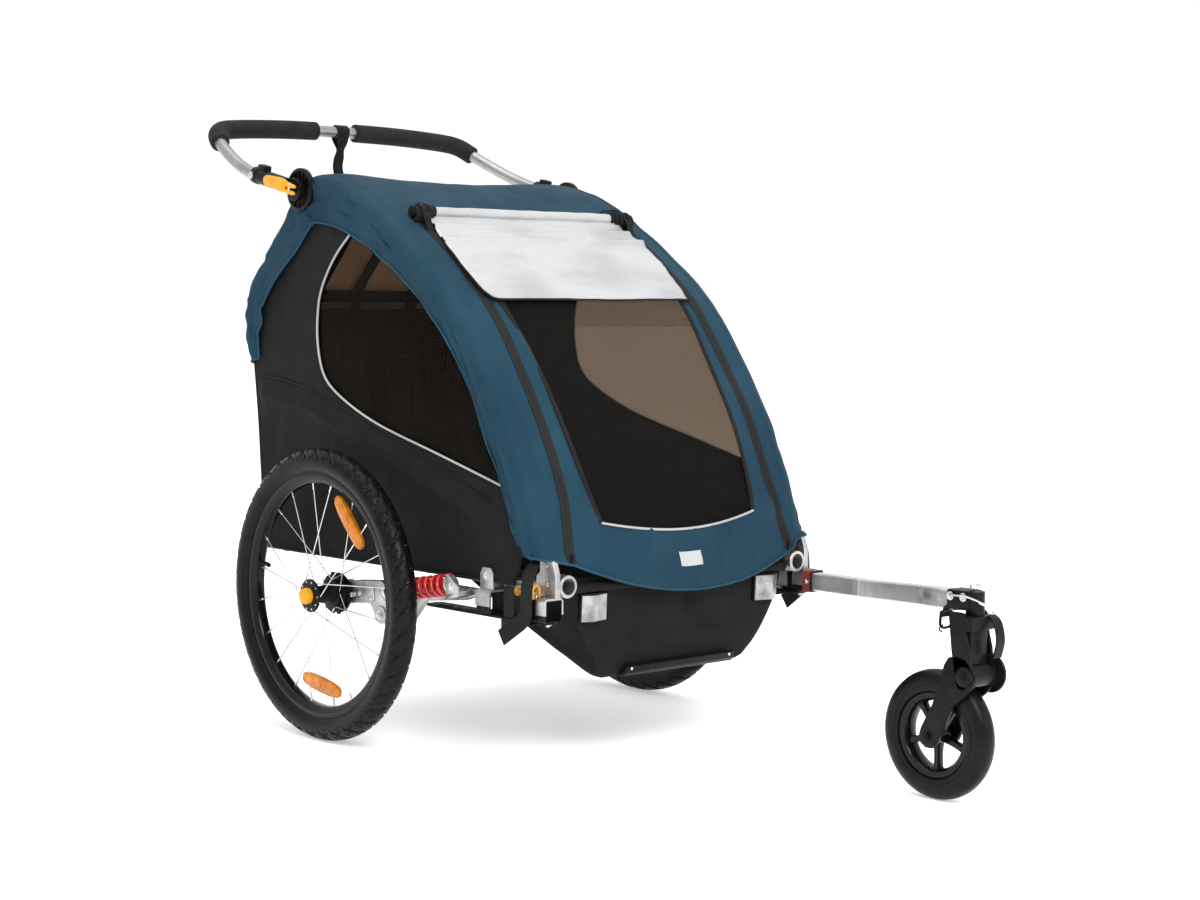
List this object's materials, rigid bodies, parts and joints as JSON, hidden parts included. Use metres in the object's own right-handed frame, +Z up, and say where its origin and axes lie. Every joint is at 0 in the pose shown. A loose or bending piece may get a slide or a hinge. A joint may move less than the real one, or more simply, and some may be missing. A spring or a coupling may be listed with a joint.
{
  "type": "child bicycle trailer",
  "caption": "Two-wheeled child trailer with fabric cabin, sprung wheels, tilting push handlebar and a swivelling stroller wheel on a bent arm.",
  "frame": {"origin": "on the ground under the middle of the whole trailer", "axes": "+X forwards towards the stroller wheel, +Y to the left, +Z up"},
  "size_m": [1.551, 0.831, 1.0838],
  "materials": {
    "blue_cloth": "woven polyester, matt",
    "black_cloth": "woven polyester, matt",
    "seat_cloth": "padded polyester",
    "dark_mesh": "fine insect mesh",
    "clear_vinyl": "clear vinyl, milky where folded",
    "tinted_vinyl": "tinted vinyl",
    "aluminium_tube": "satin tube",
    "cast_aluminium": "extruded and cast, bead blasted",
    "satin_aluminium": "satin rectangular tube",
    "black_plastic": "moulded, fine grain",
    "orange_plastic": "moulded",
    "foam": "closed-cell foam",
    "black_steel": "powder coated",
    "red_spring": "powder coated coil",
    "silver_reflector": "moulded prism reflector",
    "tyre_rubber": "slick centre with slanted grooves",
    "black_rim": "anodised black",
    "hub_steel": "hub shell, axle and stainless spokes"
  },
  "bodies": {
    "frame": {"base_frame": "aluminium_tube", "caster_head": "black_steel", "coil_spring_left": "red_spring", "coil_spring_right": "red_spring", "fabric_cover": "blue_cloth", "floor_tub": "black_cloth", "front_cross_bar": "aluminium_tube", "front_receiver_left": "cast_aluminium", "front_receiver_right": "cast_aluminium", "front_reflector_left": "silver_reflector", "front_reflector_right": "silver_reflector", "handle_hub_left": "black_plastic", "handle_hub_right": "black_plastic", "mesh_window": "dark_mesh", "rear_cross_bar": "aluminium_tube", "rear_panel": "black_cloth", "rear_receiver_left": "cast_aluminium", "rear_receiver_right": "cast_aluminium", "receiver_plate_left": "black_steel", "receiver_plate_right": "black_steel", "receiver_strap_left": "black_cloth", "receiver_strap_right": "black_cloth", "seat_back": "seat_cloth", "seat_cushion": "seat_cloth", "side_frame_left": "aluminium_tube", "side_frame_right": "aluminium_tube", "side_panel_left": "black_cloth", "side_panel_right": "black_cloth", "side_window_left": "tinted_vinyl", "side_window_right": "tinted_vinyl", "spring_bracket_left": "cast_aluminium", "spring_bracket_right": "cast_aluminium", "stroller_arm": "satin_aluminium", "vinyl_cover": "clear_vinyl"},
    "handlebar": {"handlebar_tube": "aluminium_tube", "handle_grip_right": "foam", "handle_grip_left": "foam", "handle_clamp_right": "black_plastic", "handle_clamp_left": "black_plastic", "wrist_strap": "black_cloth"},
    "caster": {"caster_fork": "black_steel"},
    "stroller_wheel": {"stroller_rim": "black_plastic", "stroller_tyre": "tyre_rubber"},
    "lever_right": {"cam_lever_right": "orange_plastic"},
    "suspension_right": {"swing_arm_right": "cast_aluminium"},
    "wheel_right": {"tyre_right": "tyre_rubber", "rim_right": "black_rim", "wheel_hub_right": "hub_steel"},
    "button_right": {"axle_button_right": "orange_plastic"},
    "brake_right": {"brake_pin_right": "hub_steel"},
    "pull_right": {"pull_pin_right": "orange_plastic"},
    "lever_left": {"cam_lever_left": "orange_plastic"},
    "suspension_left": {"swing_arm_left": "cast_aluminium"},
    "wheel_left": {"tyre_left": "tyre_rubber", "rim_left": "black_rim", "wheel_hub_left": "hub_steel"},
    "button_left": {"axle_button_left": "orange_plastic"},
    "brake_left": {"brake_pin_left": "hub_steel"},
    "pull_left": {"pull_pin_left": "orange_plastic"}
  },
  "joints": [
    {"name": "handlebar_tilt", "type": "hinge", "parent": "frame", "child": "handlebar", "pos_m": [-0.4455, 0, 0.937], "axis": [0, 1, 0], "range_deg": [-45, 135]},
    {"name": "caster_swivel", "type": "hinge", "parent": "frame", "child": "caster", "pos_m": [0.7405, 0.074, 0.2], "axis": [0, 0, 1], "continuous": true},
    {"name": "stroller_wheel_spin", "type": "hinge", "parent": "caster", "child": "stroller_wheel", "pos_m": [0.6765, 0.074, 0.099], "axis": [0, 1, 0], "continuous": true},
    {"name": "cam_lever_right_swing", "type": "hinge", "parent": "handlebar", "child": "lever_right", "pos_m": [-0.4255, -0.3475, 0.9367], "axis": [0.2245, 0, 0.9745], "range_deg": [0, 100]},
    {"name": "suspension_right_travel", "type": "hinge", "parent": "frame", "child": "suspension_right", "pos_m": [-0.1795, -0.324, 0.222], "axis": [0, 1, 0], "range_deg": [0, 9], "stiffness_Nm_per_rad": 45, "springref_deg": -17.19, "deforming": ["coil_spring_right"]},
    {"name": "wheel_right_spin", "type": "hinge", "parent": "suspension_right", "child": "wheel_right", "pos_m": [-0.2945, -0.371, 0.248], "axis": [0, 1, 0], "continuous": true},
    {"name": "axle_button_right_press", "type": "slide", "parent": "wheel_right", "child": "button_right", "axis": [0, 1, 0], "range_m": [0, 0.003], "stiffness_N_per_m": 400, "springref_m": -0.002},
    {"name": "brake_pin_right_slide", "type": "slide", "parent": "suspension_right", "child": "brake_right", "axis": [0, -1, 0], "range_m": [0, 0.006]},
    {"name": "pull_pin_right_lift", "type": "slide", "parent": "frame", "child": "pull_right", "axis": [0, 0, 1], "range_m": [0, 0.01], "stiffness_N_per_m": 300, "springref_m": -0.004},
    {"name": "cam_lever_left_swing", "type": "hinge", "parent": "handlebar", "child": "lever_left", "pos_m": [-0.4255, 0.3475, 0.9367], "axis": [-0.2245, 0, -0.9745], "range_deg": [0, 100]},
    {"name": "suspension_left_travel", "type": "hinge", "parent": "frame", "child": "suspension_left", "pos_m": [-0.1795, 0.324, 0.222], "axis": [0, 1, 0], "range_deg": [0, 9], "stiffness_Nm_per_rad": 45, "springref_deg": -17.19, "deforming": ["coil_spring_left"]},
    {"name": "wheel_left_spin", "type": "hinge", "parent": "suspension_left", "child": "wheel_left", "pos_m": [-0.2945, 0.371, 0.248], "axis": [0, 1, 0], "continuous": true},
    {"name": "axle_button_left_press", "type": "slide", "parent": "wheel_left", "child": "button_left", "axis": [0, -1, 0], "range_m": [0, 0.003], "stiffness_N_per_m": 400, "springref_m": -0.002},
    {"name": "brake_pin_left_slide", "type": "slide", "parent": "suspension_left", "child": "brake_left", "axis": [0, 1, 0], "range_m": [0, 0.006]},
    {"name": "pull_pin_left_lift", "type": "slide", "parent": "frame", "child": "pull_left", "axis": [0, 0, 1], "range_m": [0, 0.01], "stiffness_N_per_m": 300, "springref_m": -0.004}
  ],
  "couplings": [
    {"joint": "brake_pin_left_slide", "follows": "brake_pin_right_slide", "ratio": 1}
  ]
}
